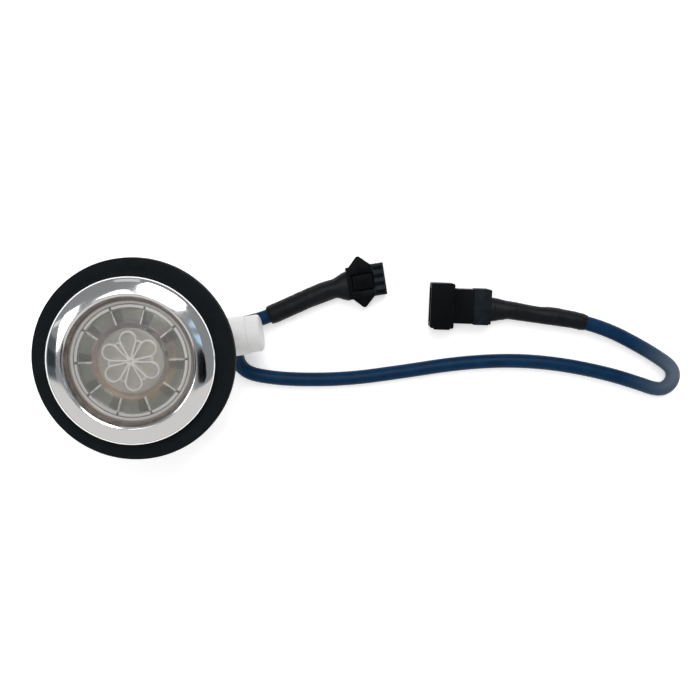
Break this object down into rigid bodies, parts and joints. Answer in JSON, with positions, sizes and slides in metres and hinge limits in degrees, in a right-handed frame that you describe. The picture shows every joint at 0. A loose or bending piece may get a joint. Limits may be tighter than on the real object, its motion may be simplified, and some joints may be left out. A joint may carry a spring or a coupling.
{
  "type": "underwater pool light",
  "caption": "Small round through-wall underwater light with a chrome bezel, flat gasket, clear segmented lens, rear lock nut, side cable boot and two blue leads with mating connectors.",
  "frame": {"origin": "centre of the flat rear face that the light stands on, on the light's axis", "axes": "+Z along the light's axis towards the lens, +X towards the side where the leads run, the cable boot points 9 degrees from +X towards +Y"},
  "size_m": [0.1958, 0.0576, 0.0432],
  "materials": {
    "white_plastic": "satin",
    "black_rubber": "matte",
    "brown_silicone": "satin",
    "chrome": "polished",
    "clear_plastic": "clear polished",
    "reflector_plastic": "metallised",
    "aluminium": "milled",
    "board_white": "solder mask",
    "led_package": "satin",
    "component_black": "satin",
    "steel": "plated",
    "wire_red": "satin",
    "potting_resin": "glossy",
    "cable_blue": "satin",
    "heat_shrink": "satin",
    "connector_black": "satin",
    "tinned_brass": "tinned"
  },
  "bodies": {
    "light_body": {"housing_body": "white_plastic", "boot_body": "white_plastic", "boot_cap": "white_plastic", "rear_cap": "white_plastic", "face_gasket": "black_rubber", "lens_seal": "brown_silicone", "rear_cap_seal": "black_rubber", "boot_seal": "black_rubber", "long_lead_grommet": "black_rubber", "short_lead_grommet": "black_rubber", "lens": "clear_plastic", "lamp_reflector": "reflector_plastic", "heat_spreader": "aluminium", "led_board": "board_white", "led_chips": "led_package", "board_resistors": "component_black", "board_screws": "steel", "rear_cap_screws": "steel", "board_wires": "wire_red", "tail_potting": "potting_resin", "boot_potting": "potting_resin", "long_lead": "cable_blue", "short_lead": "cable_blue", "long_lead_sleeve": "heat_shrink", "short_lead_sleeve": "heat_shrink", "plug_housing": "connector_black", "socket_housing": "connector_black", "plug_contacts": "tinned_brass", "socket_pins": "tinned_brass"},
    "bezel": {"bezel_ring": "chrome"},
    "washer": {"nut_washer": "white_plastic"},
    "nut": {"lock_nut": "white_plastic"},
    "latch": {"plug_latch": "connector_black"}
  },
  "joints": [
    {"name": "nut_travel", "type": "slide", "parent": "light_body", "child": "washer", "axis": [0, 0, 1], "range_m": [0, 0.004]},
    {"name": "nut_spin", "type": "hinge", "parent": "washer", "child": "nut", "pos_m": [0, 0, 0.024], "axis": [0, 0, 1], "range_deg": [0, 720]},
    {"name": "bezel_lift", "type": "slide", "parent": "light_body", "child": "bezel", "axis": [0, 0, 1], "range_m": [0, 0.012]},
    {"name": "plug_latch_press", "type": "hinge", "parent": "light_body", "child": "latch", "pos_m": [0.06197, 0.01992, 0.00575], "axis": [-0.1564, 0.9877, 0], "range_deg": [0, 5], "stiffness_Nm_per_rad": 0.02}
  ],
  "couplings": [
    {"joint": "nut_travel", "follows": "nut_spin", "m_per_rad": 0.00031831}
  ]
}
